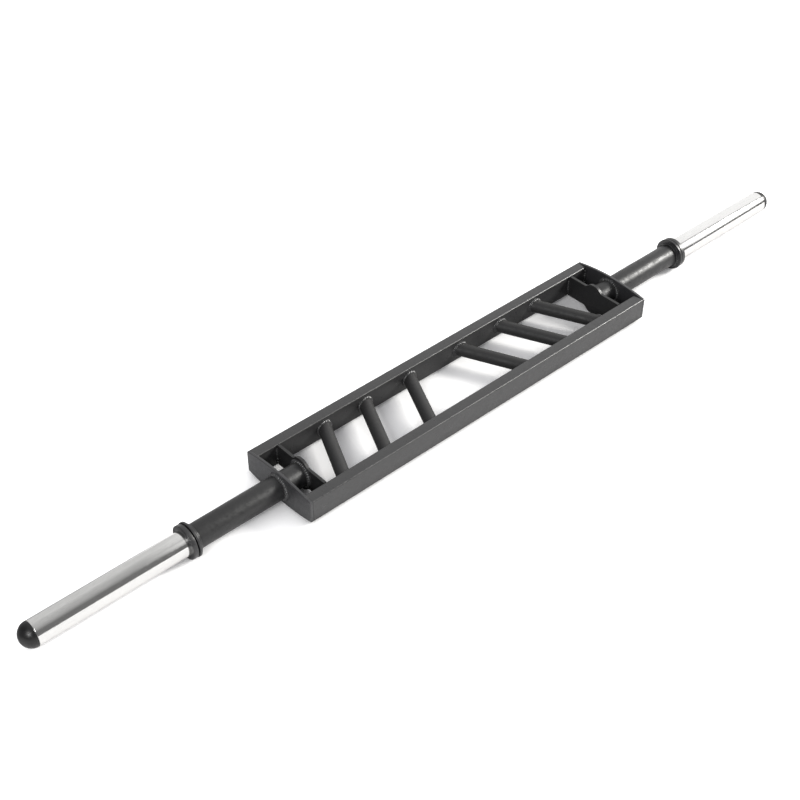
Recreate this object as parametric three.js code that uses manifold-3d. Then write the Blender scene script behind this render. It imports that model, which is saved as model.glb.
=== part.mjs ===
// A multi-grip strength bar: a flat welded frame with slanted hand grips between two box
// rails, and a round shaft at each end that carries a turning sleeve for weight plates.
// Millimetres. X runs along the bar, Y across the frame and Z up. The origin lies on the
// floor below the bar's middle; the front rail is at -Y and the left end at -X.

import * as THREE from 'three';
import { mergeVertices } from 'three/addons/utils/BufferGeometryUtils.js';
import Module from 'manifold-3d';

const wasm = await Module();
wasm.setup();

// Fits shared by all pieces
const seatGap = 0.3; // between pieces that are welded, pressed or clamped together
const runningClearance = 0.08; // radial, between a bush and the spindle it turns on
const overrun = 1; // how far one solid reaches into another before they are joined

// Box rails
const railHeight = 50;
const railWidth = 25;
const railWall = 2.5;
const railCorner = 3;
const railBoreCorner = 1;
const frameWidth = 190; // over both rails

// End plates, whose long edges bow outwards past the rails
const plateThickness = 6;
const plateRise = 9; // how far a long edge stands past the rails at its middle

// Gussets, which carry the shafts' inner ends and, with a round hump below, the whole bar
const gussetThickness = 6;
const compartmentLength = 47; // between a gusset and its end plate
const humpRadius = 24;
const humpFillet = 10;
const footWidth = 10; // flat at the foot of the hump
const floorClearance = 0.4; // between the floor and whatever comes next to the feet

// Hand grips, counted from the bar's middle
const gripDiameter = 28;
const gripWall = 3;
const gripAngle = THREE.MathUtils.degToRad(25); // between a grip and the Y axis
const innerGripOffset = 103; // from the bar's middle to the inner grips
const innerGripPitch = 118.5; // from an inner grip to its middle grip
const outerGripPitch = 105.5; // from a middle grip to its outer grip
const outerGripMargin = 77; // from an outer grip to the gusset

// Round shafts
const shaftDiameter = 50;
const shaftWall = 4;
const neckLength = 203; // from the end plate to the outer face of the shoulder ring

// Shoulder ring, welded on the shaft's outer end
const shoulderDiameter = 71;
const shoulderThickness = 5;
const shoulderChamfer = 1;
const stepDiameter = 57;
const stepLength = 5.5;

// Sleeves and their stop rings
const sleeveDiameter = 50;
const sleeveWall = 4;
const loadingLength = 307; // bare sleeve outside the stop ring
const collarGap = 2; // between the shoulder ring and the stop ring
const stopRingDiameter = 69;
const stopRingThickness = 10;
const stopRingChamfer = 1.5;

// Spindles, fixed in the shafts, on which the sleeves turn
const spindleDiameter = 30;
const spindleRootLength = 60; // thick root inside the shaft
const boltHoleRoom = 4; // past the bolt's tip

// Bushes, washers and bolts inside a sleeve
const innerBushLength = 40;
const outerBushLength = 35;
const thrustWasherRecess = 1; // below the sleeve's surface
const endPlay = 0.5; // between the outer bush and the end washer
const endWasherThickness = 4;
const endWasherClearance = 1; // radial, inside the sleeve
const boltDiameter = 12;
const boltLength = 30;
const boltHeadHeight = 7.5;
const boltHeadFlats = 19; // across the flats

// End caps
const capHeight = 25;
const capBarrelLength = 12;
const capWall = 3;
const capRoom = 3; // between the end washer and the cap's barrel

// Weld beads, as the leg of their triangular section
const shaftWeldLeg = 5;
const gripWeldLeg = 3.5;
const weldCrownShare = 0.62; // 0.5 is a flat bead, 1 a square one

// Fineness of round shapes
const roundSegments = 28;
const beadSegments = 16;
const cornerSteps = 3;
const bowSteps = 12;
const humpSteps = 4;
const domeSteps = 6;
const hollowSteps = 3;
const hexSides = 6;

// Across the frame and up
const railMiddle = (frameWidth - railWidth) / 2;
const clearWidth = frameWidth - 2 * railWidth;
const plateDrop = railHeight / 2 + plateRise;
const lowestRing = Math.max(shoulderDiameter, stopRingDiameter) / 2;
const axisHeight = Math.max(plateDrop, lowestRing) + floorClearance;
const humpCentre = axisHeight - Math.sqrt(humpRadius ** 2 - (footWidth / 2) ** 2);

// Along the bar, as distances from its middle
const middleGripOffset = innerGripOffset + innerGripPitch;
const outerGripOffset = middleGripOffset + outerGripPitch;
const gussetInnerFace = outerGripOffset + outerGripMargin;
const gussetOuterFace = gussetInnerFace + gussetThickness;
const plateInnerFace = gussetOuterFace + compartmentLength;
const plateOuterFace = plateInnerFace + plateThickness;
const shoulderFace = plateOuterFace + neckLength;
const sleeveStart = shoulderFace + collarGap;
const stopFace = sleeveStart + stopRingThickness;
const sleeveEnd = stopFace + loadingLength;
const spindleEnd = sleeveEnd - capBarrelLength - capRoom - endWasherThickness - seatGap;
const outerBushEnd = spindleEnd - endPlay;
const boltSeat = spindleEnd + endWasherThickness + 2 * seatGap;

// Radii that follow from a neighbour
const shaftRadius = shaftDiameter / 2;
const shaftBore = shaftRadius - shaftWall;
const sleeveRadius = sleeveDiameter / 2;
const sleeveBore = sleeveRadius - sleeveWall;
const spindleRadius = spindleDiameter / 2;
const boltRadius = boltDiameter / 2;

// Finishes
function finish(color, roughness, metalness) {
  return () => new THREE.MeshStandardMaterial({ color, roughness, metalness });
}
const charcoalPaint = finish(0x4d4e51, 0.55, 0.15);
const collarPaint = finish(0x3c3d40, 0.5, 0.15);
const chrome = finish(0xd4d5d8, 0.12, 1);
const steel = finish(0x9a9c9f, 0.35, 1);
const bronze = finish(0xa8793f, 0.45, 1);
const blackPlastic = finish(0x1c1c1e, 0.5, 0);

function named(name, geometry, material) {
  const mesh = new THREE.Mesh(geometry, material());
  mesh.name = name;
  return mesh;
}

// The corner radius of a many-sided bore whose flats stay clear of a round piece
function boreRadius(radius, gap, segments = roundSegments) {
  return (radius + gap) / Math.cos(Math.PI / segments);
}

// Solids of revolution about Y. Profiles are [radius, y] pairs and run up the outside.
function turned(profile, segments = roundSegments) {
  return new THREE.LatheGeometry(profile.map(([r, y]) => new THREE.Vector2(r, y)), segments);
}

function ring(profile, segments = roundSegments) {
  return turned([...profile, profile[0]], segments);
}

function tube(innerRadius, outerRadius, from, to) {
  return ring([[innerRadius, from], [outerRadius, from], [outerRadius, to], [innerRadius, to]]);
}

// A fillet weld that rises from a flat face at y = from, around a round piece
function weldRing(radius, leg, from, segments) {
  const inner = boreRadius(radius, seatGap, segments);
  const crown = leg * weldCrownShare;
  const profile = [
    [inner, from],
    [inner + leg, from],
    [inner + crown, from + crown],
    [inner, from + leg],
  ];
  return ring(profile, segments);
}

function arc(x, y, radius, from, to, steps) {
  return Array.from({ length: steps + 1 }, (_, step) => {
    const angle = from + ((to - from) * step) / steps;
    return new THREE.Vector2(x + radius * Math.cos(angle), y + radius * Math.sin(angle));
  });
}

function halfTurned(points) {
  return points.map((point) => new THREE.Vector2(-point.x, -point.y));
}

function roundedRectangle(width, height, radius) {
  const x = width / 2 - radius;
  const y = height / 2 - radius;
  const quarter = Math.PI / 2;
  const rightSide = [
    ...arc(x, -y, radius, -quarter, 0, cornerSteps),
    ...arc(x, y, radius, 0, quarter, cornerSteps),
  ];
  return [...rightSide, ...halfTurned(rightSide)];
}

// An outline drawn in the Y-Z plane and extruded along +X
function extrudedAlongBar(outline, hole, length) {
  const shape = new THREE.Shape(outline);
  if (hole) {
    shape.holes.push(new THREE.Path(hole));
  }
  const geometry = new THREE.ExtrudeGeometry(shape, { depth: length, bevelEnabled: false });
  return geometry.rotateX(Math.PI / 2).rotateZ(Math.PI / 2);
}

// Box rails with open ends, which the end plates close
function makeRail(name, side) {
  const outline = roundedRectangle(railWidth, railHeight, railCorner);
  const boreWidth = railWidth - 2 * railWall;
  const boreHeight = railHeight - 2 * railWall;
  const bore = roundedRectangle(boreWidth, boreHeight, railBoreCorner);
  const halfLength = plateInnerFace - seatGap;
  const rail = named(name, extrudedAlongBar(outline, bore, 2 * halfLength), charcoalPaint);
  rail.position.set(-halfLength, side * railMiddle, axisHeight);
  return rail;
}

// End plates: corners flush with the rails, bowed long edges and a hole for the shaft
function plateOutline() {
  const halfWidth = frameWidth / 2 - railCorner;
  const halfHeight = railHeight / 2 - railCorner;
  const bowRadius = (halfWidth ** 2 + plateRise ** 2) / (2 * plateRise);
  const bowHalfAngle = Math.asin(halfWidth / bowRadius);
  const quarter = Math.PI / 2;
  const bowCentre = plateDrop - bowRadius;
  const bow = arc(0, bowCentre, bowRadius, quarter - bowHalfAngle, quarter + bowHalfAngle, bowSteps);
  const rightSideAndTop = [
    ...arc(halfWidth, -halfHeight, railCorner, -quarter, 0, cornerSteps),
    ...arc(halfWidth, halfHeight, railCorner, 0, quarter, cornerSteps),
    ...bow.slice(1, -1),
  ];
  return [...rightSideAndTop, ...halfTurned(rightSideAndTop)];
}

function makeEndPlate(name, side) {
  const holeRadius = boreRadius(shaftRadius, seatGap);
  const hole = arc(0, 0, holeRadius, 0, 2 * Math.PI, roundSegments).slice(0, -1);
  const plate = named(name, extrudedAlongBar(plateOutline(), hole, plateThickness), charcoalPaint);
  plate.position.set(side > 0 ? plateInnerFace : -plateOuterFace, 0, axisHeight);
  return plate;
}

// Gussets: flush with the rails, with a filleted round hump above and below the shaft.
// Each hump ends in a flat, and the bar rests on the lower ones.
function gussetOutline() {
  const halfWidth = clearWidth / 2 - seatGap;
  const halfHeight = railHeight / 2;
  const filletY = halfHeight + humpFillet;
  const filletRise = filletY - humpCentre;
  const filletX = Math.sqrt((humpRadius + humpFillet) ** 2 - filletRise ** 2);
  const meetAngle = Math.atan2(filletRise, filletX);
  const flatAngle = Math.acos(footWidth / 2 / humpRadius);
  const half = Math.PI;
  const top = [
    new THREE.Vector2(halfWidth, halfHeight),
    ...arc(filletX, filletY, humpFillet, -half / 2, meetAngle - half, cornerSteps),
    ...arc(0, humpCentre, humpRadius, meetAngle, flatAngle, humpSteps).slice(1),
    ...arc(0, humpCentre, humpRadius, half - flatAngle, half - meetAngle, humpSteps),
    ...arc(-filletX, filletY, humpFillet, -meetAngle, -half / 2, cornerSteps).slice(1),
    new THREE.Vector2(-halfWidth, halfHeight),
  ];
  return [...top, ...halfTurned(top)];
}

function makeGusset(name, side) {
  const gusset = named(name, extrudedAlongBar(gussetOutline(), null, gussetThickness), charcoalPaint);
  gusset.position.set(side > 0 ? gussetInnerFace : -gussetOuterFace, 0, axisHeight);
  return gusset;
}

// Slanted grips. A straight round tube that is cut flush with both rails is the same shape
// as a tube square to the rails, widened along them and then sheared.
function slanted(geometry, side) {
  const shear = new THREE.Matrix4().makeShear(0, 0, -side * Math.tan(gripAngle), 0, 0, 0);
  return geometry.scale(1 / Math.cos(gripAngle), 1, 1).applyMatrix4(shear);
}

function makeGrip(name, side, offset) {
  const group = new THREE.Group();
  group.position.set(side * offset, 0, axisHeight);
  const radius = gripDiameter / 2;
  const reach = clearWidth / 2 - seatGap;
  const bar = slanted(tube(radius - gripWall, radius, -reach, reach), side);
  group.add(named(name, bar, charcoalPaint));
  const bead = slanted(weldRing(radius, gripWeldLeg, -reach, beadSegments), side);
  group.add(named(`${name}_front_weld`, bead, charcoalPaint));
  const rearWeld = named(`${name}_rear_weld`, bead.clone(), charcoalPaint);
  rearWeld.rotation.z = Math.PI;
  group.add(rearWeld);
  return group;
}

// Round pieces of one end. They are turned about Y, and their group lays Y along the bar,
// so every y below is a distance from the bar's middle.
function makeShaft(name) {
  const shaft = tube(shaftBore, shaftRadius, gussetOuterFace + seatGap, shoulderFace);
  return named(name, shaft, charcoalPaint);
}

function makeShaftWeld(name, face, direction) {
  const bead = weldRing(shaftRadius, shaftWeldLeg, seatGap, roundSegments);
  const weld = named(name, bead, charcoalPaint);
  weld.position.y = face;
  weld.rotation.x = direction > 0 ? 0 : Math.PI;
  return weld;
}

function makeShoulderRing(name) {
  const bore = shaftRadius + seatGap;
  const flange = shoulderDiameter / 2;
  const flangeStart = shoulderFace - shoulderThickness;
  const stepStart = flangeStart - stepLength;
  const step = stepDiameter / 2;
  const profile = [
    [bore, stepStart],
    [step, stepStart],
    [step, flangeStart],
    [flange - shoulderChamfer, flangeStart],
    [flange, flangeStart + shoulderChamfer],
    [flange, shoulderFace - shoulderChamfer],
    [flange - shoulderChamfer, shoulderFace],
    [bore, shoulderFace],
  ];
  return named(name, ring(profile), collarPaint);
}

function makeSpindle(name) {
  const root = shaftBore - seatGap;
  const rootStart = shoulderFace - spindleRootLength;
  const hole = boltRadius + seatGap;
  const holeBottom = boltSeat - boltLength - boltHoleRoom;
  const profile = [
    [0, rootStart],
    [root, rootStart],
    [root, shoulderFace],
    [spindleRadius, shoulderFace],
    [spindleRadius, spindleEnd],
    [hole, spindleEnd],
    [hole, holeBottom],
    [0, holeBottom],
  ];
  return named(name, turned(profile), steel);
}

function makeThrustWasher(name) {
  const bore = spindleRadius + seatGap;
  const rim = sleeveRadius - thrustWasherRecess;
  return named(name, tube(bore, rim, shoulderFace + seatGap, sleeveStart - seatGap), bronze);
}

function makeSleeve(name) {
  return named(name, tube(sleeveBore, sleeveRadius, sleeveStart, sleeveEnd), chrome);
}

function makeStopRing(name) {
  const bore = sleeveRadius + seatGap;
  const rim = stopRingDiameter / 2;
  const chamfer = stopRingChamfer;
  const profile = [
    [bore, sleeveStart],
    [rim - chamfer, sleeveStart],
    [rim, sleeveStart + chamfer],
    [rim, stopFace - chamfer],
    [rim - chamfer, stopFace],
    [bore, stopFace],
  ];
  return named(name, ring(profile), collarPaint);
}

function makeBush(name, from, to) {
  const bore = boreRadius(spindleRadius, runningClearance);
  return named(name, tube(bore, sleeveBore - seatGap, from, to), bronze);
}

function makeEndWasher(name) {
  const bore = boltRadius + seatGap;
  const rim = sleeveBore - endWasherClearance;
  const from = spindleEnd + seatGap;
  return named(name, tube(bore, rim, from, from + endWasherThickness), steel);
}

function solidOf(geometry) {
  geometry.deleteAttribute('normal');
  geometry.deleteAttribute('uv');
  const merged = mergeVertices(geometry);
  const vertProperties = merged.attributes.position.array;
  const triVerts = Uint32Array.from(merged.index.array);
  return new wasm.Manifold(new wasm.Mesh({ numProp: 3, vertProperties, triVerts }));
}

function geometryOf(solid) {
  const { vertProperties, triVerts } = solid.getMesh();
  const geometry = new THREE.BufferGeometry();
  geometry.setAttribute('position', new THREE.BufferAttribute(vertProperties, 3));
  geometry.setIndex(new THREE.BufferAttribute(triVerts, 1));
  return geometry;
}

function makeEndBolt(name) {
  const headRadius = boltHeadFlats / 2 / Math.cos(Math.PI / hexSides);
  const head = new THREE.CylinderGeometry(headRadius, headRadius, boltHeadHeight, hexSides);
  head.translate(0, boltSeat + boltHeadHeight / 2, 0);
  const stem = boltLength + overrun;
  const shank = new THREE.CylinderGeometry(boltRadius, boltRadius, stem, roundSegments);
  shank.translate(0, boltSeat + overrun - stem / 2, 0);
  return named(name, geometryOf(solidOf(head).add(solidOf(shank))), steel);
}

// Domed plug: a hollow barrel inside the sleeve and a half-round cap over its end
function makeEndCap(name) {
  const barrel = sleeveBore - seatGap;
  const bore = barrel - capWall;
  const barrelEnd = sleeveEnd - capBarrelLength;
  const rim = sleeveEnd + seatGap;
  const quarter = Math.PI / 2;
  const hollowHeight = capHeight - capWall;
  const hollow = Array.from({ length: hollowSteps + 1 }, (_, step) => {
    const angle = quarter * (1 - step / hollowSteps);
    return [bore * Math.cos(angle), sleeveEnd + hollowHeight * Math.sin(angle)];
  });
  const dome = Array.from({ length: domeSteps + 1 }, (_, step) => {
    const angle = (quarter * step) / domeSteps;
    return [sleeveRadius * Math.cos(angle), rim + (capHeight - seatGap) * Math.sin(angle)];
  });
  hollow[0][0] = 0;
  dome[domeSteps][0] = 0;
  const profile = [...hollow, [bore, barrelEnd], [barrel, barrelEnd], [barrel, rim], ...dome];
  return named(name, turned(profile), blackPlastic);
}

function makeEnd(prefix, side) {
  const end = new THREE.Group();
  end.position.z = axisHeight;
  end.rotation.z = (-side * Math.PI) / 2;
  end.add(makeShaft(`${prefix}_shaft`));
  end.add(makeShaftWeld(`${prefix}_shaft_gusset_weld`, gussetOuterFace, 1));
  end.add(makeShaftWeld(`${prefix}_shaft_inner_weld`, plateInnerFace, -1));
  end.add(makeShaftWeld(`${prefix}_shaft_outer_weld`, plateOuterFace, 1));
  end.add(makeShoulderRing(`${prefix}_shoulder_ring`));
  end.add(makeSpindle(`${prefix}_spindle`));
  end.add(makeThrustWasher(`${prefix}_thrust_washer`));
  end.add(makeSleeve(`${prefix}_sleeve`));
  end.add(makeStopRing(`${prefix}_stop_ring`));
  const innerBushStart = sleeveStart + seatGap;
  end.add(makeBush(`${prefix}_inner_bush`, innerBushStart, innerBushStart + innerBushLength));
  end.add(makeBush(`${prefix}_outer_bush`, outerBushEnd - outerBushLength, outerBushEnd));
  end.add(makeEndWasher(`${prefix}_end_washer`));
  end.add(makeEndBolt(`${prefix}_end_bolt`));
  end.add(makeEndCap(`${prefix}_end_cap`));
  return end;
}

const bar = new THREE.Group();
bar.add(makeRail('front_rail', -1));
bar.add(makeRail('rear_rail', 1));
for (const [prefix, side] of [['left', -1], ['right', 1]]) {
  bar.add(makeEndPlate(`${prefix}_end_plate`, side));
  bar.add(makeGusset(`${prefix}_gusset`, side));
  bar.add(makeGrip(`${prefix}_inner_grip`, side, innerGripOffset));
  bar.add(makeGrip(`${prefix}_middle_grip`, side, middleGripOffset));
  bar.add(makeGrip(`${prefix}_outer_grip`, side, outerGripOffset));
  bar.add(makeEnd(prefix, side));
}

export default bar;
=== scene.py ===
"""Looks of a multi-grip strength bar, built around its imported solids.

Metres, X along the bar, Y across it and Z up from the floor. Places and outer sizes come
from the frame. The constants below add what the frame's boxes don't say.
"""
import math
from collections import namedtuple
from itertools import product

import bmesh
import bpy
from mathutils import Matrix, Vector, noise


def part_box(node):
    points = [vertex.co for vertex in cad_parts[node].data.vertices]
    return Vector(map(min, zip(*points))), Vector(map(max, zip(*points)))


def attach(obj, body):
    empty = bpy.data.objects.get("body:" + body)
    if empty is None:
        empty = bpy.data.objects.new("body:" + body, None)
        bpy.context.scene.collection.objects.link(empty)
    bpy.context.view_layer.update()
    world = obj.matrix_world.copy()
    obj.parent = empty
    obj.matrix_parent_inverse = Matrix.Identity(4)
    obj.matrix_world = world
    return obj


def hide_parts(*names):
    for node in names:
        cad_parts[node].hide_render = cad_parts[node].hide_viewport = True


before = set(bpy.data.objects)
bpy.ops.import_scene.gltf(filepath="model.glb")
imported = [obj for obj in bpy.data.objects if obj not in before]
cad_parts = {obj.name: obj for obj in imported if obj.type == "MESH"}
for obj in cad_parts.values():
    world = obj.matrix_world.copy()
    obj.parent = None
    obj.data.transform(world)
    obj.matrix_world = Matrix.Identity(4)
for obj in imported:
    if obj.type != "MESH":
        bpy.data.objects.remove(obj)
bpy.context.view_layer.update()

MM = 0.001
QUARTER = math.pi / 2
SIDES = (("left", -1), ("right", 1))
GRIPS = ("inner", "middle", "outer")

# Box rails and the plates between them
RAIL_WALL = 2.5 * MM
RAIL_CORNER = 3 * MM
RAIL_BORE_CORNER = 1 * MM
RAIL_END_ROUNDING = 0.7 * MM
PLATE_OUTER_ROUNDING = 1.2 * MM
PLATE_INNER_ROUNDING = 0.7 * MM
GUSSET_ROUNDING = 2.2 * MM
HUMP_RADIUS = 24 * MM
HUMP_FILLET = 10 * MM
FOOT_WIDTH = 10 * MM

# Tubes
GRIP_ANGLE = math.radians(25)
GRIP_RADIUS = 14 * MM
GRIP_WALL = 3 * MM
TUBE_WALL = 4 * MM
SLEEVE_END_ROUNDING = 0.8 * MM

# Collars
FLANGE_THICKNESS = 5 * MM
STEP_RADIUS = 28.5 * MM
FLANGE_ROUNDING = 1 * MM
STEP_ROUNDING = 0.8 * MM
STOP_RING_ROUNDING = 1.6 * MM
INNER_EDGE_ROUNDING = 0.3 * MM

# End caps
CAP_WALL = 3 * MM
CAP_LIP_ROUNDING = 0.6 * MM

# Weld beads
SHAFT_BEAD_LEG = 5 * MM
GRIP_BEAD_LEG = 3.5 * MM
CORNER_BEAD_LEG = 4 * MM
CORNER_BEAD_MARGIN = 2.5 * MM
BEAD_SINK = 0.25 * MM
BEAD_RIPPLE_PITCH = 4.2 * MM
BEAD_RIPPLE_SHARE = 0.2
BEAD_LUMP_LENGTH = 7 * MM
BEAD_LUMP_SHARE = 0.42

# Fineness of the meshes
ROUND_SEGMENTS = 112
GRIP_SEGMENTS = 72
BEAD_STEP = 0.6 * MM
BEAD_SECTION_STEPS = 7
ROUNDING_STEPS = 5
BOW_STEPS = 40
HUMP_STEPS = 24
DOME_STEPS = 20
BEVEL_SEGMENTS = 3
SHARP_ANGLE = math.radians(32)
ON_AXIS = 1e-9


# Node trees

# Sockets of a colour mix
MIX_SHARE, MIX_FIRST, MIX_SECOND, MIX_RESULT = 0, 6, 7, 2


def add_node(tree, kind, inputs=(), **settings):
    """A node with its settings, and its inputs given as values or as other nodes' outputs."""
    made = tree.nodes.new(kind)
    for name, value in settings.items():
        setattr(made, name, value)
    for name, value in dict(inputs).items():
        if isinstance(value, bpy.types.NodeSocket):
            tree.links.new(value, made.inputs[name])
        else:
            made.inputs[name].default_value = value
    return made


def math_node(tree, operation, *values):
    inputs = dict(enumerate(values))
    return add_node(tree, "ShaderNodeMath", inputs, operation=operation).outputs[0]


def spread(tree, value, low, high, start, end):
    """Low where the value is at the start or before it, high from the end on."""
    inputs = {"Value": value, "From Min": start, "From Max": end, "To Min": low, "To Max": high}
    return add_node(tree, "ShaderNodeMapRange", inputs).outputs["Result"]


def blend(tree, share, first, second):
    """The first colour where the share is 0, and the second one where it is 1."""
    inputs = {MIX_SHARE: share, MIX_FIRST: first, MIX_SECOND: second}
    return add_node(tree, "ShaderNodeMix", inputs, data_type="RGBA").outputs[MIX_RESULT]


def shaded(color, share):
    """The colour made darker or lighter, with an alpha of 1."""
    return (*(min(1.0, channel * share) for channel in color), 1.0)


def two_toned(tree, share, color, tones):
    return blend(tree, share, *(shaded(color, tone) for tone in tones))


def speckle(tree, place, grain):
    """Noise from 0 to 1."""
    scale = grain.scale
    if isinstance(scale, tuple):
        inputs = {"Vector": place, "Scale": scale}
        place = add_node(tree, "ShaderNodeMapping", inputs).outputs["Vector"]
        scale = 1
    inputs = {"Vector": place, "Scale": scale, "Detail": grain.detail, "Roughness": grain.roughness}
    return add_node(tree, "ShaderNodeTexNoise", inputs).outputs["Fac"]


def patches(tree, place, grain, low, high):
    """Low and high patches where the noise is at either end of the part that counts."""
    return spread(tree, speckle(tree, place, grain), low, high, grain.start, grain.end)


def relief(tree, place, grain, depth, base=None):
    """The normal of a surface with bumps of that depth, on top of those of the base."""
    inputs = {"Height": speckle(tree, place, grain), "Distance": depth}
    if base:
        inputs["Normal"] = base
    return add_node(tree, "ShaderNodeBump", inputs).outputs["Normal"]


def new_material(name, **uniform):
    """A material, its tree, its shader and its coordinates in metres. Values that are the same
    all over the surface go to the shader's own sockets."""
    material = bpy.data.materials.new(name)
    material.use_nodes = True
    tree = material.node_tree
    shader = tree.nodes["Principled BSDF"]
    for socket, value in uniform.items():
        shader.inputs[socket.replace("_", " ")].default_value = value
    place = add_node(tree, "ShaderNodeTexCoord").outputs["Object"]
    return material, tree, shader, place


# Materials

# Noise of a finish: its grains per metre, or one such number for each axis, its own detail and
# roughness, and the start and end of the part of it that counts
Grain = namedtuple("Grain", "scale detail roughness start end", defaults=(0.5, 0.3, 0.7))

COAT_CLOUDS = Grain(22, 3)
COAT_PIGMENT = Grain(1400, 1, 0.5, 0.35, 0.65)
COAT_RUBS = Grain((6, 90, 90), 4, 0.5, 0.6, 0.8)
COAT_GLOSS = Grain(110, 5, 0.7)
COAT_WAVES = Grain(90, 2)
COAT_PEEL = Grain(400, 3, 0.6)
COAT_DUST = Grain(2600, 1)
CLOUD_TONES = (0.90, 1.10)
PIGMENT_TONES = (0.82, 1.18)
PIGMENT_SHARE = 0.4
RUB_SHARE = 0.35
RUB_TONE = 1.5
COAT_GLOSS_SPREAD = 0.12
COAT_WAVE_DEPTH = 0.3 * MM
COAT_DUST_DEPTH = 0.02 * MM

METAL_HANDLING = Grain((28, 70, 70), 4, 0.6, 0.35, 0.75)
METAL_SCUFFS = Grain((120, 420, 420), 3, 0.65, 0.45, 0.75)
METAL_GLOSS = METAL_SCUFFS._replace(start=0.4, end=0.7)
METAL_WAVES = Grain((20, 140, 140), 2)
METAL_HAIRLINES = Grain((9000, 60, 60), 2)
HANDLING_SHARE = 0.7
SCUFF_SHARE = 0.4
SCUFF_DARKENING = 0.08
METAL_WAVE_DEPTH = 0.02 * MM

PLASTIC_DUST = Grain(90, 4)
PLASTIC_DENTS = Grain(160, 2)
PLASTIC_PORES = Grain(1500, 2)
DUST_TONES = (0.8, 1.4)
DUST_GLOSS = (-0.05, 0.08)
DENT_DEPTH = 0.06 * MM
PORE_DEPTH = 0.01 * MM


def set_surface(tree, shader, color, roughness, normal):
    for socket, value in (("Base Color", color), ("Roughness", roughness), ("Normal", normal)):
        tree.links.new(value, shader.inputs[socket])


def powder_coat(name, color, roughness, ior, peel_depth):
    """Baked-on paint: cloudy tone, fine pigment grain, orange peel and a few rub marks."""
    material, tree, shader, place = new_material(name, IOR=ior)
    clouded = two_toned(tree, patches(tree, place, COAT_CLOUDS, 0, 1), color, CLOUD_TONES)
    grained = two_toned(tree, patches(tree, place, COAT_PIGMENT, 0, 1), color, PIGMENT_TONES)
    paint = blend(tree, PIGMENT_SHARE, clouded, grained)
    rubs = patches(tree, place, COAT_RUBS, 0, RUB_SHARE)
    worn = blend(tree, rubs, paint, shaded(color, RUB_TONE))
    gloss = patches(tree, place, COAT_GLOSS, roughness - COAT_GLOSS_SPREAD,
                    roughness + COAT_GLOSS_SPREAD)
    waves = relief(tree, place, COAT_WAVES, COAT_WAVE_DEPTH)
    peel = relief(tree, place, COAT_PEEL, peel_depth, waves)
    set_surface(tree, shader, worn, gloss, relief(tree, place, COAT_DUST, COAT_DUST_DEPTH, peel))
    return material


def turned_metal(name, color, roughness, groove_depth, smudge, dull_tone):
    """Metal turned on a lathe: hairline grooves round the bar's axis, and dull smudges."""
    material, tree, shader, place = new_material(name, Metallic=1.0)
    handling = patches(tree, place, METAL_HANDLING, 0, HANDLING_SHARE)
    clouded = two_toned(tree, handling, color, (1, dull_tone))
    scuffs = patches(tree, place, METAL_SCUFFS, 0, SCUFF_SHARE)
    scuffed = blend(tree, scuffs, clouded, shaded(color, dull_tone - SCUFF_DARKENING))
    gloss = patches(tree, place, METAL_GLOSS, roughness, roughness + smudge)
    waves = relief(tree, place, METAL_WAVES, METAL_WAVE_DEPTH)
    grooves = relief(tree, place, METAL_HAIRLINES, groove_depth, waves)
    set_surface(tree, shader, scuffed, gloss, grooves)
    return material


def moulded_plastic(name, color, roughness, ior):
    """Moulded cap: leathery grain, small dents and dusty patches."""
    material, tree, shader, place = new_material(name, IOR=ior)
    dusty = patches(tree, place, PLASTIC_DUST, 0, 1)
    toned = two_toned(tree, dusty, color, DUST_TONES)
    gloss = spread(tree, dusty, *(roughness + change for change in DUST_GLOSS), 0, 1)
    dents = relief(tree, place, PLASTIC_DENTS, DENT_DEPTH)
    set_surface(tree, shader, toned, gloss, relief(tree, place, PLASTIC_PORES, PORE_DEPTH, dents))
    return material


# Colour, roughness, refractive index and depth of the orange peel
COATS = {
    "charcoal_powder_coat": ((0.028, 0.028, 0.0285), 0.36, 1.75, 0.12 * MM),
    # The plates' coat is the frame's paint made lighter: painted light on the end plates
    "charcoal_plate_coat": ((0.035, 0.035, 0.037), 0.36, 1.75, 0.12 * MM),
    # The tube coat is darker and rougher; on the gussets and corner beads it is painted shade
    "charcoal_tube_coat": ((0.021, 0.021, 0.0215), 0.42, 1.55, 0.12 * MM),
    "charcoal_grip_coat": ((0.025, 0.0248, 0.025), 0.56, 1.55, 0.12 * MM),
    "painted_weld": ((0.044, 0.044, 0.045), 0.32, 1.75, 0.22 * MM),
    "collar_powder_coat": ((0.018, 0.018, 0.019), 0.36, 1.7, 0.06 * MM),
}
# Colour, roughness, depth of the grooves, what a smudge adds to the roughness, and dull tone
METALS = {
    "sleeve_chrome": ((0.95, 0.945, 0.93), 0.07, 0.0015 * MM, 0.15, 0.90),
    "turned_steel": ((0.52, 0.53, 0.55), 0.3, 0.004 * MM, 0.12, 0.8),
    "bronze": ((0.52, 0.33, 0.14), 0.38, 0.004 * MM, 0.12, 0.75),
}
# Colour, roughness and refractive index
PLASTICS = {"black_plastic": ((0.007, 0.007, 0.0073), 0.36, 1.52)}

FINISHES = {
    name: make(name, *look)
    for make, looks in ((powder_coat, COATS), (turned_metal, METALS), (moulded_plastic, PLASTICS))
    for name, look in looks.items()
}


# Meshes

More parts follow.
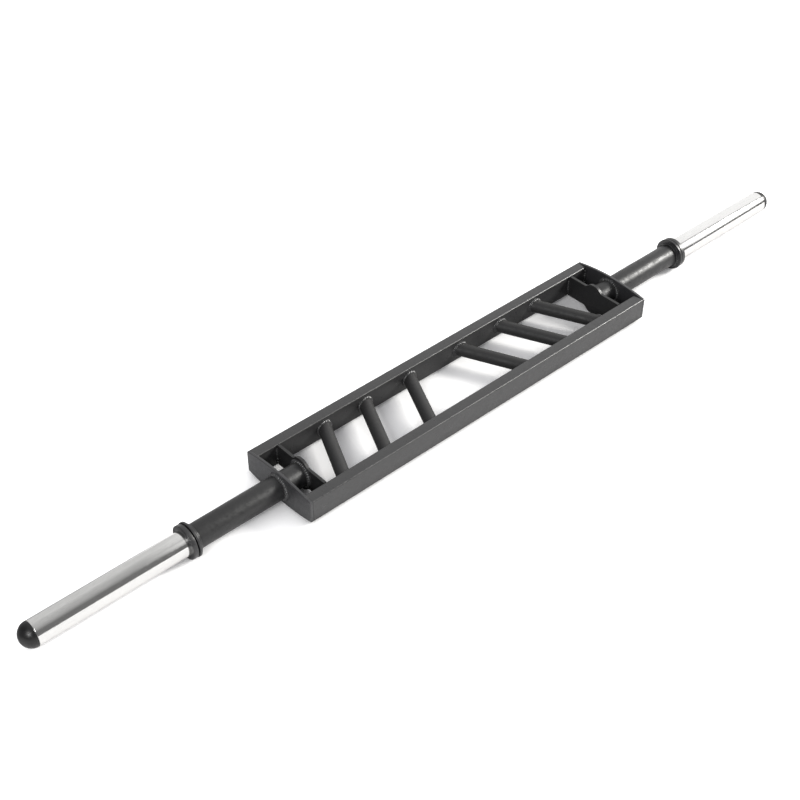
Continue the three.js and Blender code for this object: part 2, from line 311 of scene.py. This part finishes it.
def finish_piece(name, mesh_in_making, body, slot, nodes=(), bevel=0.0, look=None):
    """Makes an object of a bmesh, puts it on its body and lets it stand for CAD nodes."""
    bmesh.ops.recalc_face_normals(mesh_in_making, faces=mesh_in_making.faces)
    mesh = bpy.data.meshes.new(name)
    mesh_in_making.to_mesh(mesh)
    mesh_in_making.free()
    mesh.set_sharp_from_angle(angle=SHARP_ANGLE)
    mesh.materials.append(FINISHES[look or slot])
    piece = bpy.data.objects.new(name, mesh)
    bpy.context.scene.collection.objects.link(piece)
    if bevel:
        edges = piece.modifiers.new("rounded_edges", "BEVEL")
        edges.width = bevel
        edges.segments = BEVEL_SEGMENTS
        edges.limit_method = "ANGLE"
        edges.angle_limit = SHARP_ANGLE
        edges.harden_normals = True
    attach(piece, body)
    if nodes:
        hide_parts(*nodes)
    return piece


def skin(mesh, rings, closed):
    """Faces between neighbouring rings of vertices. A ring may be a single point."""
    following = rings[1:] + rings[:1] if closed else rings[1:]
    for ring, after in zip(rings, following):
        count = max(len(ring), len(after))
        for index in range(count):
            beside = (index + 1) % count
            corners = (ring[index % len(ring)], ring[beside % len(ring)],
                       after[beside % len(after)], after[index % len(after)])
            mesh.faces.new(dict.fromkeys(corners)).smooth = True


def rounded(corners):
    """The closed outline through (a, b, radius) corners, with each corner rounded."""
    outline = []
    for index, (a, b, radius) in enumerate(corners):
        corner = Vector((a, b))
        before = (Vector(corners[index - 1][:2]) - corner).normalized()
        after = (Vector(corners[(index + 1) % len(corners)][:2]) - corner).normalized()
        if not radius:
            outline.append(corner)
            continue
        half_angle = before.angle(after) / 2
        centre = corner + (before + after).normalized() * (radius / math.sin(half_angle))
        start = corner + before * (radius / math.tan(half_angle)) - centre
        turn = start.angle_signed(corner + after * (radius / math.tan(half_angle)) - centre)
        for step in range(ROUNDING_STEPS + 1):
            angle = -turn * step / ROUNDING_STEPS
            outline.append(centre + Matrix.Rotation(angle, 2) @ start)
    return outline


def arc(centre, radius, start, end, steps):
    """Points of an arc in the plane, end points included."""
    angles = (start + (end - start) * step / steps for step in range(steps + 1))
    return [Vector(centre) + radius * Vector((math.cos(a), math.sin(a))) for a in angles]


def turned(side, profile):
    """A solid turned about the bar's axis, from (distance from the middle, radius) points."""
    mesh = bmesh.new()
    rings = []
    for distance, radius in profile:
        ring = []
        for index in range(1 if radius < ON_AXIS else ROUND_SEGMENTS):
            angle = 2 * math.pi * index / ROUND_SEGMENTS
            y, z = radius * math.cos(angle), AXIS_HEIGHT + radius * math.sin(angle)
            ring.append(mesh.verts.new((side * distance, y, z)))
        rings.append(ring)
    skin(mesh, rings, closed=profile[0][1] > ON_AXIS)
    return mesh


def extruded(sections, hole=()):
    """A solid from (x, outline) sections along the bar. Outlines hold (y, z) about its axis."""
    mesh = bmesh.new()

    def loop_at(x, outline):
        return [mesh.verts.new((x, y, AXIS_HEIGHT + z)) for y, z in outline]

    walls = [[loop_at(x, outline) for x, outline in sections]]
    if hole:
        walls.append([loop_at(x, hole) for x, _ in (sections[0], sections[-1])])
    for end in (0, -1):
        loops = [wall[end] for wall in walls]
        edges = [mesh.edges.new(pair) for loop in loops for pair in zip(loop, loop[1:] + loop[:1])]
        bmesh.ops.triangle_fill(mesh, edges=edges, use_beauty=True)
    for wall in walls:
        skin(mesh, wall, closed=False)
    return mesh


def bead(spine, leg, closed):
    """A rippled fillet weld. The spine lists the corner that it fills, and the two directions
    that lead away from that corner along the joined faces."""
    mesh = bmesh.new()
    rings = []
    travelled = 0.0
    before = spine[0][0]
    for corner, first, second in spine:
        travelled += (corner - before).length
        before = corner
        phase = 2 * math.pi * travelled / BEAD_RIPPLE_PITCH
        ripple = BEAD_RIPPLE_SHARE * (abs(math.sin(phase / 2)) - 0.5)
        lump = BEAD_LUMP_SHARE * noise.noise(corner / BEAD_LUMP_LENGTH)
        reach = leg * (1 + ripple + lump)
        root = corner - BEAD_SINK * (first + second)
        section = [root]
        for step in range(BEAD_SECTION_STEPS + 1):
            angle = QUARTER * step / BEAD_SECTION_STEPS
            outward = math.cos(angle) * first + math.sin(angle) * second
            section.append(root + reach * outward)
        rings.append([mesh.verts.new(point) for point in section])
    skin(mesh, rings, closed)
    if not closed:
        for ring in (rings[0], rings[-1]):
            mesh.faces.new(ring)
    return mesh


def round_spine(radius, centre, first_axis, second_axis, along):
    """The spine of a bead round a tube that leaves a flat face in the direction along."""
    count = round(2 * math.pi * radius / BEAD_STEP)
    spine = []
    for index in range(count):
        angle = 2 * math.pi * index / count
        outward = math.cos(angle) * first_axis + math.sin(angle) * second_axis
        spine.append((centre + radius * outward, outward, along))
    return spine


def span(node):
    """Distances of a node's near and far end from the bar's middle, and its outer radius."""
    low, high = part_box(node)
    near, far = sorted((abs(low.x), abs(high.x)))
    return near, far, (high.z - low.z) / 2


X_AXIS, Y_AXIS, Z_AXIS = Vector((1, 0, 0)), Vector((0, 1, 0)), Vector((0, 0, 1))
AXIS_HEIGHT = sum(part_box("left_shaft"), Vector()).z / 2
SHAFT_RADIUS = span("left_shaft")[2]
RAIL_LOW, RAIL_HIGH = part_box("rear_rail")
RAIL_HALF_HEIGHT = (RAIL_HIGH.z - RAIL_LOW.z) / 2


# Rails, end plates and gussets

def rectangle(low_y, high_y, half_height, radius):
    corners = ((low_y, -1), (high_y, -1), (high_y, 1), (low_y, 1))
    return rounded([(y, up * half_height, radius) for y, up in corners])


def make_rail(node):
    low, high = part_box(node)
    outline = rectangle(low.y, high.y, RAIL_HALF_HEIGHT, RAIL_CORNER)
    bore_half_height = RAIL_HALF_HEIGHT - RAIL_WALL
    bore = rectangle(low.y + RAIL_WALL, high.y - RAIL_WALL, bore_half_height, RAIL_BORE_CORNER)
    rail = extruded([(low.x, outline), (high.x, outline)], bore)
    finish_piece(node + "_fine", rail, "frame", "charcoal_powder_coat", [node], RAIL_END_ROUNDING)


def plate_outline(half_width, top, inset):
    """Two bowed long edges and four rounded corners, all drawn in by the inset."""
    corner_y = half_width - RAIL_CORNER
    corner_z = RAIL_HALF_HEIGHT - RAIL_CORNER
    rise = top - RAIL_HALF_HEIGHT
    bow_radius = (corner_y ** 2 + rise ** 2) / (2 * rise)
    bow_angle = math.asin(corner_y / bow_radius)
    half = arc((corner_y, -corner_z), RAIL_CORNER - inset, -QUARTER, 0, ROUNDING_STEPS)
    half += arc((corner_y, corner_z), RAIL_CORNER - inset, 0, QUARTER, ROUNDING_STEPS)
    half += arc((0, top - bow_radius), bow_radius - inset,
                QUARTER - bow_angle, QUARTER + bow_angle, BOW_STEPS)[1:-1]
    return half + [-point for point in half]


def make_end_plate(node, side):
    near, far, _ = span(node)
    _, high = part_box(node)
    roundings = [(near, 1, PLATE_INNER_ROUNDING), (far, -1, PLATE_OUTER_ROUNDING)]
    places = []
    for face, inward, radius in roundings:
        for step in range(ROUNDING_STEPS + 1):
            angle = QUARTER * step / ROUNDING_STEPS
            distance = face + inward * radius * (1 - math.sin(angle))
            places.append((distance, radius * (1 - math.cos(angle))))
    sections = [(side * distance, plate_outline(high.y, high.z - AXIS_HEIGHT, inset))
                for distance, inset in sorted(places)]
    hole = arc((0, 0), SHAFT_RADIUS, 0, 4 * QUARTER, ROUND_SEGMENTS)[:-1]
    # The end plates get the frame's paint made lighter: painted light
    finish_piece(node + "_fine", extruded(sections, hole), "frame", "charcoal_powder_coat", [node],
                 look="charcoal_plate_coat")


def make_gusset(node):
    low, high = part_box(node)
    foot_edge = math.acos(FOOT_WIDTH / 2 / HUMP_RADIUS)
    centre_z = AXIS_HEIGHT - HUMP_RADIUS * math.sin(foot_edge)
    fillet_z = RAIL_HALF_HEIGHT + HUMP_FILLET
    fillet_y = math.sqrt((HUMP_RADIUS + HUMP_FILLET) ** 2 - (fillet_z - centre_z) ** 2)
    meeting = math.atan2(fillet_z - centre_z, fillet_y)
    right = [Vector((high.y, RAIL_HALF_HEIGHT))]
    right += arc((fillet_y, fillet_z), HUMP_FILLET, -QUARTER, meeting - 2 * QUARTER, ROUNDING_STEPS)
    right += arc((0, centre_z), HUMP_RADIUS, meeting, foot_edge, HUMP_STEPS)[1:]
    left = [Vector((-point.x, point.y)) for point in reversed(right)]
    top = right + left
    outline = top + [-point for point in top]
    gusset = extruded([(low.x, outline), (high.x, outline)])
    # The gusset gets the darker tube coat: painted shade
    finish_piece(node + "_fine", gusset, "frame", "charcoal_powder_coat", [node], GUSSET_ROUNDING,
                 look="charcoal_tube_coat")


# Slanted grips and the beads at both their ends

def make_grip(side, node):
    low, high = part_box(node)
    reach = high.y
    slant = Matrix.Identity(4)
    slant[0][0] = 1 / math.cos(GRIP_ANGLE)
    slant[0][1] = -side * math.tan(GRIP_ANGLE)
    place = Matrix.Translation(((low.x + high.x) / 2, 0, AXIS_HEIGHT)) @ slant

    mesh = bmesh.new()
    rings = []
    for radius, y in ((GRIP_RADIUS, -reach), (GRIP_RADIUS, reach),
                      (GRIP_RADIUS - GRIP_WALL, reach), (GRIP_RADIUS - GRIP_WALL, -reach)):
        angles = [2 * math.pi * index / GRIP_SEGMENTS for index in range(GRIP_SEGMENTS)]
        rings.append([mesh.verts.new((radius * math.cos(a), y, radius * math.sin(a)))
                      for a in angles])
    skin(mesh, rings, closed=True)
    mesh.transform(place)
    finish_piece(node + "_fine", mesh, "frame", "charcoal_powder_coat", [node],
                 look="charcoal_grip_coat")

    for end, toward in (("front", 1), ("rear", -1)):
        foot = Vector((0, -toward * reach, 0))
        spine = round_spine(GRIP_RADIUS, foot, X_AXIS, Z_AXIS, toward * Y_AXIS)
        weld = bead(spine, GRIP_BEAD_LEG, closed=True)
        weld.transform(place)
        weld_node = f"{node}_{end}_weld"
        finish_piece(weld_node + "_bead", weld, "frame", "painted_weld", [weld_node])


# Upright beads in the corners between the rails and the plates that cross them

def make_corner_bead(name, corner, along_plate, along_rail):
    height = 2 * (RAIL_HALF_HEIGHT - RAIL_CORNER - CORNER_BEAD_MARGIN)
    steps = round(height / BEAD_STEP)
    start = corner - Z_AXIS * height / 2
    spine = [(start + Z_AXIS * height * step / steps, along_plate, along_rail)
             for step in range(steps + 1)]
    weld = bead(spine, CORNER_BEAD_LEG, closed=False)
    # The corner beads get the darker tube coat: painted shade in the corners between rails and
    # plates
    finish_piece(name, weld, "frame", "painted_weld", look="charcoal_tube_coat")


def make_corner_beads(prefix, side):
    inner_face = RAIL_LOW.y
    gusset_near, gusset_far, _ = span(prefix + "_gusset")
    plate_near = span(prefix + "_end_plate")[0]
    places = (("gusset_grip_side", gusset_near, -1), ("gusset_outer", gusset_far, 1),
              ("end_plate", plate_near, -1))
    for (name, distance, outward), (rail, across) in product(places, (("front", -1), ("rear", 1))):
        corner = Vector((side * distance, across * inner_face, AXIS_HEIGHT))
        directions = -across * Y_AXIS, side * outward * X_AXIS
        make_corner_bead(f"{prefix}_{name}_{rail}_bead", corner, *directions)


# Shafts, sleeves and what sits on them

def tube_profile(near, far, radius, wall, rounding):
    edge = INNER_EDGE_ROUNDING
    return rounded([(near, radius, rounding), (far, radius, rounding),
                    (far, radius - wall, edge), (near, radius - wall, edge)])


def make_shaft(prefix, side):
    near, far, radius = span(prefix + "_shaft")
    tube = turned(side, tube_profile(near, far, radius, TUBE_WALL, INNER_EDGE_ROUNDING))
    finish_piece(prefix + "_shaft_fine", tube, "frame", "charcoal_powder_coat", [prefix + "_shaft"],
                 look="charcoal_tube_coat")
    gusset_face = span(prefix + "_gusset")[1]
    plate_near, plate_far, _ = span(prefix + "_end_plate")
    for name, face, outward in (("gusset", gusset_face, 1), ("inner", plate_near, -1),
                                ("outer", plate_far, 1)):
        centre = Vector((side * face, 0, AXIS_HEIGHT))
        spine = round_spine(radius, centre, Y_AXIS, Z_AXIS, side * outward * X_AXIS)
        node = f"{prefix}_shaft_{name}_weld"
        weld = bead(spine, SHAFT_BEAD_LEG, closed=True)
        finish_piece(node + "_bead", weld, "frame", "painted_weld", [node])


def make_shoulder_ring(prefix, side):
    node = prefix + "_shoulder_ring"
    near, far, radius = span(node)
    flange = far - FLANGE_THICKNESS
    bore = SHAFT_RADIUS
    profile = rounded([
        (near, bore, 0), (near, STEP_RADIUS, STEP_ROUNDING), (flange, STEP_RADIUS, STEP_ROUNDING),
        (flange, radius, FLANGE_ROUNDING), (far, radius, FLANGE_ROUNDING), (far, bore, 0),
    ])
    finish_piece(node + "_fine", turned(side, profile), "frame", "collar_powder_coat", [node])


def make_sleeve(prefix, side):
    body = prefix + "_sleeve_assembly"
    node = prefix + "_sleeve"
    near, far, radius = span(node)
    tube = turned(side, tube_profile(near, far, radius, TUBE_WALL, SLEEVE_END_ROUNDING))
    finish_piece(node + "_fine", tube, body, "sleeve_chrome", [node])

    ring_node = prefix + "_stop_ring"
    ring_near, ring_far, ring_radius = span(ring_node)
    ring = rounded([(ring_near, radius, 0), (ring_near, ring_radius, STOP_RING_ROUNDING),
                    (ring_far, ring_radius, STOP_RING_ROUNDING), (ring_far, radius, 0)])
    finish_piece(ring_node + "_fine", turned(side, ring), body, "collar_powder_coat", [ring_node])

    cap_node = prefix + "_end_cap"
    cap_near, cap_far, _ = span(cap_node)
    barrel = radius - TUBE_WALL - INNER_EDGE_ROUNDING
    bore = barrel - CAP_WALL
    hollow_height = cap_far - CAP_WALL - far
    hollow = [(far + hollow_height * math.sin(a), bore * math.cos(a))
              for a in (QUARTER * (1 - step / DOME_STEPS) for step in range(DOME_STEPS + 1))]
    rim = far + INNER_EDGE_ROUNDING
    lip = arc((rim + CAP_LIP_ROUNDING, radius - CAP_LIP_ROUNDING), CAP_LIP_ROUNDING,
              2 * QUARTER, QUARTER, ROUNDING_STEPS)
    dome_start = rim + CAP_LIP_ROUNDING
    dome = [(dome_start + (cap_far - dome_start) * math.sin(a), radius * math.cos(a))
            for a in (QUARTER * step / DOME_STEPS for step in range(1, DOME_STEPS + 1))]
    hollow[0] = (hollow[0][0], 0.0)
    dome[-1] = (dome[-1][0], 0.0)
    profile = [*hollow, (cap_near, bore), (cap_near, barrel), (rim, barrel), *lip, *dome]
    finish_piece(cap_node + "_fine", turned(side, profile), body, "black_plastic", [cap_node])


def dress_hidden_parts(prefix):
    """Gives the parts inside the sleeves their metal. Their shapes stay the frame's."""
    slots = {
        "spindle": "turned_steel", "end_washer": "turned_steel", "end_bolt": "turned_steel",
        "thrust_washer": "bronze", "inner_bush": "bronze", "outer_bush": "bronze",
    }
    for part, slot in slots.items():
        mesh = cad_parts[f"{prefix}_{part}"].data
        mesh.materials.clear()
        mesh.materials.append(FINISHES[slot])


for rail in ("front_rail", "rear_rail"):
    make_rail(rail)
for prefix, side in SIDES:
    make_end_plate(prefix + "_end_plate", side)
    make_gusset(prefix + "_gusset")
    for grip in GRIPS:
        make_grip(side, f"{prefix}_{grip}_grip")
    make_corner_beads(prefix, side)
    make_shaft(prefix, side)
    make_shoulder_ring(prefix, side)
    make_sleeve(prefix, side)
    dress_hidden_parts(prefix)


# Stage: white floor, studio room, lamps and camera

WHITE = (1.0, 1.0, 1.0, 1.0)
BLACK = (0.0, 0.0, 0.0, 1.0)

# Floor: its paper, the share of the paper's colour that lights the bar and is mirrored in it,
# and the glow that lifts it. The shares under the frame are painted shade, darkest below the
# shafts. The glow is painted light, weaker inside the frame.
FLOOR_HALF_SIZE = 14.0
PAPER_COLOR = (0.94, 0.94, 0.94)
PAPER_ROUGHNESS = 0.9
THROWN_BACK_OUTSIDE = 0.85
PAINTED_SHADE_TONE_BELOW_GRIPS = 0.35
PAINTED_SHADE_TONE_BELOW_SHAFTS = 0.08
ZONE_EDGE = 0.015
GLOW_OUTSIDE = 0.9
GLOW_INSIDE = 0.42
GLOW_MIRRORED = 0.1
GLOW_POWER = 1.5

# Nooks of the floor below the bar, and the strip (in Y) behind the left sleeve. Below the
# sleeves both get painted shade.
NOOK_REACH = 0.10
NOOK_SAMPLES = 8
NOOK_OPENNESS = (0.3, 0.7)
PAINTED_NOOK_SHADE = 0.3
BEHIND_LEFT_STRIP = (0.03, 0.08)
PAINTED_SHADE_BEHIND_LEFT = 0.6

# Room, as directions of length 1 and tones. Pairs hold a value for its left and its right.
ROOM_LIGHT = (0.36, 0.36, 0.375, 1.0)
LEFT_AND_RIGHT = (0.36, 0.62)
WALL_FOOT = (0.08, 0.0)
WALL_TOP = (0.65, 0.16)
WALL_TONE = (0.16, 0.10)
FADE_HEIGHT = (0.35, 0.10)
CEILING_TONE = (0.47, 1.0)
REAR_TONE = (0.61, 1.0)
REAR_START = (0.0, 0.5)
DARK_SIDE_TONE = (0.20, 0.20, 0.21, 1.0)
DARK_SIDE_END = (-0.35, 0.05)
SEAM_Y = -0.16
SEAM_HALF_WIDTH = (0.03, 0.09)
SEAM_STRENGTH = (0.0, 0.65)
SEAM_LOWEST_Z = 0.5

# Name, place, width, watts and colour of each softbox
SOFTBOXES = (
    ("key_softbox", (6.6, -3.6, 4.2), 2.3, 920, (1.0, 0.985, 0.955)),
    ("fill_softbox", (-2.86, -1.41, 2.36), 1.3, 57, (1.0, 1.0, 1.0)),
)

CAMERA_PLACE = (-1.52106, -1.52711, 1.82887)
CAMERA_HEADING = math.radians(41.728)
CAMERA_DIP = math.radians(-40.632)
CAMERA_ROLL = math.radians(-0.333)
CAMERA_LENS = 62.09
SENSOR_WIDTH = 36.0


def beyond(tree, place, reach):
    """0 where the coordinate lies within the reach on both sides of the middle, 1 beyond it."""
    return spread(tree, math_node(tree, "ABSOLUTE", place), 0.0, 1.0, reach, reach + ZONE_EDGE)


def color_floor(tree, shader, path, axes, openness, outside):
    """The paper's own colour where it is seen. What it throws back is a little less outside the
    frame. Under the frame and the sleeves it carries painted shade: darker below the grips,
    darkest below the shafts, and darker in the nooks below the sleeves and behind the left one."""
    past_gussets = beyond(tree, axes["X"], span("left_gusset")[0])
    below_sleeves = beyond(tree, axes["X"], span("left_sleeve")[0])
    # Painted shade below the sleeves: in the nooks, and in a strip behind the left sleeve
    painted_nook_shade = spread(tree, openness, PAINTED_NOOK_SHADE, 0.0, *NOOK_OPENNESS)
    behind = spread(tree, axes["Y"], 0.0, PAINTED_SHADE_BEHIND_LEFT, *BEHIND_LEFT_STRIP)
    on_left = math_node(tree, "LESS_THAN", axes["X"], 0.0)
    painted_shade_behind_left = math_node(tree, "MULTIPLY", behind, on_left)
    painted_shade = math_node(tree, "MULTIPLY", below_sleeves, math_node(tree, "ADD", painted_nook_shade, painted_shade_behind_left))
    # Painted shade under the frame: darker below the grips, darkest below the shafts
    inside = two_toned(tree, past_gussets, PAPER_COLOR,
                       (PAINTED_SHADE_TONE_BELOW_GRIPS, PAINTED_SHADE_TONE_BELOW_SHAFTS))
    around = blend(tree, outside, inside, shaded(PAPER_COLOR, THROWN_BACK_OUTSIDE))
    paper_with_painted_shade = blend(tree, painted_shade, around, BLACK)
    color = blend(tree, path["Is Camera Ray"], paper_with_painted_shade, shaded(PAPER_COLOR, 1))
    tree.links.new(color, shader.inputs["Base Color"])


def lift_floor(tree, shader, path, openness, outside):
    """A glow that whitens the paper where it is seen and mirrored: painted light. It is weaker
    inside the frame and fades in the nooks, which paints shade there.
    """
    lifted = spread(tree, outside, GLOW_INSIDE, GLOW_OUTSIDE, 0.0, 1.0)
    seen = math_node(tree, "MULTIPLY", path["Is Camera Ray"], lifted)
    is_mirrored = math_node(tree, "MAXIMUM", path["Is Glossy Ray"], path["Is Transmission Ray"])
    mirrored = math_node(tree, "MULTIPLY", is_mirrored, GLOW_MIRRORED)
    in_the_open = math_node(tree, "POWER", openness, GLOW_POWER)
    level = math_node(tree, "MULTIPLY", math_node(tree, "ADD", seen, mirrored), in_the_open)
    glow = add_node(tree, "ShaderNodeEmission", {"Color": WHITE, "Strength": level})
    both = add_node(tree, "ShaderNodeAddShader", {0: shader.outputs[0], 1: glow.outputs[0]})
    tree.links.new(both.outputs[0], tree.nodes["Material Output"].inputs["Surface"])


def make_floor():
    """A sheet of white paper whose colour and glow depend on where it lies below the bar: painted
    shade and painted light.
    """
    size = FLOOR_HALF_SIZE
    mesh = bpy.data.meshes.new("floor")
    mesh.from_pydata([(-size, -size, 0), (size, -size, 0), (size, size, 0), (-size, size, 0)],
                     [], [(0, 1, 2, 3)])
    floor = bpy.data.objects.new("floor", mesh)
    bpy.context.scene.collection.objects.link(floor)
    material, tree, shader, place = new_material(
        "white_paper", Roughness=PAPER_ROUGHNESS, Specular_IOR_Level=0.0)
    path = add_node(tree, "ShaderNodeLightPath").outputs
    axes = add_node(tree, "ShaderNodeSeparateXYZ", {"Vector": place}).outputs
    occlusion = add_node(tree, "ShaderNodeAmbientOcclusion", {"Distance": NOOK_REACH},
                         samples=NOOK_SAMPLES)
    openness = occlusion.outputs["AO"]
    past_ends = beyond(tree, axes["X"], RAIL_HIGH.x)
    past_rails = beyond(tree, axes["Y"], RAIL_HIGH.y)
    outside = math_node(tree, "MAXIMUM", past_ends, past_rails)
    color_floor(tree, shader, path, axes, openness, outside)
    lift_floor(tree, shader, path, openness, outside)
    mesh.materials.append(material)


def make_room():
    """A room that only mirrored rays see. On the bar's front side a dark wall stands on a white
    sweep. Towards the right the wall gets lower, the ceiling and the rear turn white, and a
    dark seam runs overhead. The left side is dark. Other rays get an even light, and the camera
    sees white."""
    world = bpy.data.worlds.new("studio")
    bpy.context.scene.world = world
    world.use_nodes = True
    tree = world.node_tree
    way = add_node(tree, "ShaderNodeTexCoord").outputs["Generated"]
    axes = add_node(tree, "ShaderNodeSeparateXYZ", {"Vector": way}).outputs

    def toward_right(values):
        return spread(tree, axes["X"], *values, *LEFT_AND_RIGHT)

    over_wall = math_node(tree, "SUBTRACT", axes["Z"], toward_right(WALL_TOP))
    rise = math_node(tree, "DIVIDE", over_wall, toward_right(FADE_HEIGHT))
    wall = spread(tree, rise, toward_right(WALL_TONE), toward_right(CEILING_TONE), 0.0, 1.0)
    is_sweep = math_node(tree, "LESS_THAN", axes["Z"], toward_right(WALL_FOOT))
    front = blend(tree, is_sweep, wall, WHITE)
    is_rear = spread(tree, axes["Y"], 0.0, 1.0, *REAR_START)
    around = blend(tree, is_rear, front, toward_right(REAR_TONE))
    beside_seam = math_node(tree, "ABSOLUTE", math_node(tree, "SUBTRACT", axes["Y"], SEAM_Y))
    in_seam = spread(tree, beside_seam, 1.0, 0.0, *SEAM_HALF_WIDTH)
    seam = math_node(tree, "MULTIPLY", toward_right(SEAM_STRENGTH), in_seam)
    is_overhead = math_node(tree, "GREATER_THAN", axes["Z"], SEAM_LOWEST_Z)
    seamed = blend(tree, math_node(tree, "MULTIPLY", seam, is_overhead), around, BLACK)
    is_left = spread(tree, axes["X"], 1.0, 0.0, *DARK_SIDE_END)
    room = blend(tree, is_left, seamed, DARK_SIDE_TONE)
    path = add_node(tree, "ShaderNodeLightPath").outputs
    mirrored = blend(tree, path["Is Glossy Ray"], ROOM_LIGHT, room)
    seen = blend(tree, path["Is Camera Ray"], mirrored, WHITE)
    tree.links.new(seen, tree.nodes["Background"].inputs["Color"])


def make_softbox(name, place, width, watts, color):
    """A square lamp that points at the middle of the bar's place on the floor."""
    light = bpy.data.lights.new(name, "AREA")
    light.shape = "SQUARE"
    light.size = width
    light.energy = watts
    light.color = color
    softbox = bpy.data.objects.new(name, light)
    softbox.location = place
    softbox.rotation_euler = (-softbox.location).to_track_quat("-Z", "Y").to_euler()
    bpy.context.scene.collection.objects.link(softbox)


def make_camera():
    data = bpy.data.cameras.new("camera")
    data.sensor_width = SENSOR_WIDTH
    data.lens = CAMERA_LENS
    camera = bpy.data.objects.new("camera", data)
    turn = Matrix.Rotation(-CAMERA_HEADING, 4, "Z") @ Matrix.Rotation(QUARTER + CAMERA_DIP, 4, "X")
    roll = Matrix.Rotation(CAMERA_ROLL, 4, "Z")
    camera.matrix_world = Matrix.Translation(CAMERA_PLACE) @ turn @ roll
    bpy.context.scene.collection.objects.link(camera)
    bpy.context.scene.camera = camera


make_floor()
make_room()
for softbox in SOFTBOXES:
    make_softbox(*softbox)
make_camera()
bpy.context.scene.view_settings.view_transform = "Standard"
